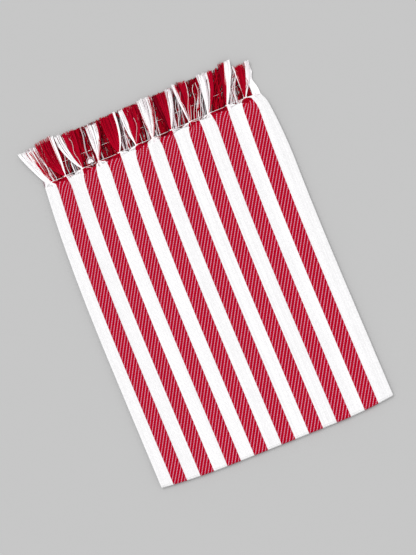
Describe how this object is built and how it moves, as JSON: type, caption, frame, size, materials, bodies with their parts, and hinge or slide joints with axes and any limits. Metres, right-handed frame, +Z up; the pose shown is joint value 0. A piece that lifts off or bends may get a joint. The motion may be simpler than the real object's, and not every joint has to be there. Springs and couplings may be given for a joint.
{
  "type": "bath mat",
  "caption": "Flat cotton twill bath mat with lengthwise red and white stripes and knotted tassels on both ends, folded in half across its length.",
  "frame": {"origin": "centre of the bottom of the folded mat's box, on the surface it lies on", "axes": "+X along the fold, +Y along the stripes from the fold to the fringes, +Z up through the two leaves"},
  "size_m": [0.5144, 0.7578, 0.009],
  "materials": {
    "red_cotton": "matt thick red cotton yarn",
    "white_cotton": "matt thick bleached cotton yarn",
    "binding_thread": "matt fine bleached cotton thread"
  },
  "bodies": {
    "lower_leaf": {"lower_red_stripe_1": "red_cotton", "lower_red_stripe_2": "red_cotton", "lower_red_stripe_3": "red_cotton", "lower_red_stripe_4": "red_cotton", "lower_red_stripe_5": "red_cotton", "lower_red_stripe_6": "red_cotton", "lower_red_stripe_7": "red_cotton", "lower_red_stripe_8": "red_cotton", "lower_white_stripe_1": "white_cotton", "lower_white_stripe_2": "white_cotton", "lower_white_stripe_3": "white_cotton", "lower_white_stripe_4": "white_cotton", "lower_white_stripe_5": "white_cotton", "lower_white_stripe_6": "white_cotton", "lower_white_stripe_7": "white_cotton", "lower_white_stripe_8": "white_cotton", "lower_white_stripe_9": "white_cotton", "fold_red_bands": "red_cotton", "fold_white_bands": "white_cotton", "lower_tassels": "white_cotton", "lower_binding_thread": "binding_thread"},
    "upper_leaf": {"upper_red_stripe_1": "red_cotton", "upper_red_stripe_2": "red_cotton", "upper_red_stripe_3": "red_cotton", "upper_red_stripe_4": "red_cotton", "upper_red_stripe_5": "red_cotton", "upper_red_stripe_6": "red_cotton", "upper_red_stripe_7": "red_cotton", "upper_red_stripe_8": "red_cotton", "upper_white_stripe_1": "white_cotton", "upper_white_stripe_2": "white_cotton", "upper_white_stripe_3": "white_cotton", "upper_white_stripe_4": "white_cotton", "upper_white_stripe_5": "white_cotton", "upper_white_stripe_6": "white_cotton", "upper_white_stripe_7": "white_cotton", "upper_white_stripe_8": "white_cotton", "upper_white_stripe_9": "white_cotton", "upper_tassel_01": "white_cotton", "upper_tassel_02": "red_cotton", "upper_tassel_03": "red_cotton", "upper_tassel_04": "white_cotton", "upper_tassel_05": "red_cotton", "upper_tassel_06": "red_cotton", "upper_tassel_07": "white_cotton", "upper_tassel_08": "red_cotton", "upper_tassel_09": "red_cotton", "upper_tassel_10": "white_cotton", "upper_tassel_11": "white_cotton", "upper_tassel_12": "red_cotton", "upper_binding_thread": "binding_thread"}
  },
  "joints": [
    {"name": "fold", "type": "hinge", "parent": "lower_leaf", "child": "upper_leaf", "pos_m": [0.0062, -0.37437, 0.0045], "axis": [1, 0, 0], "range_deg": [0, 180], "deforming": ["fold_red_bands", "fold_white_bands"]}
  ]
}
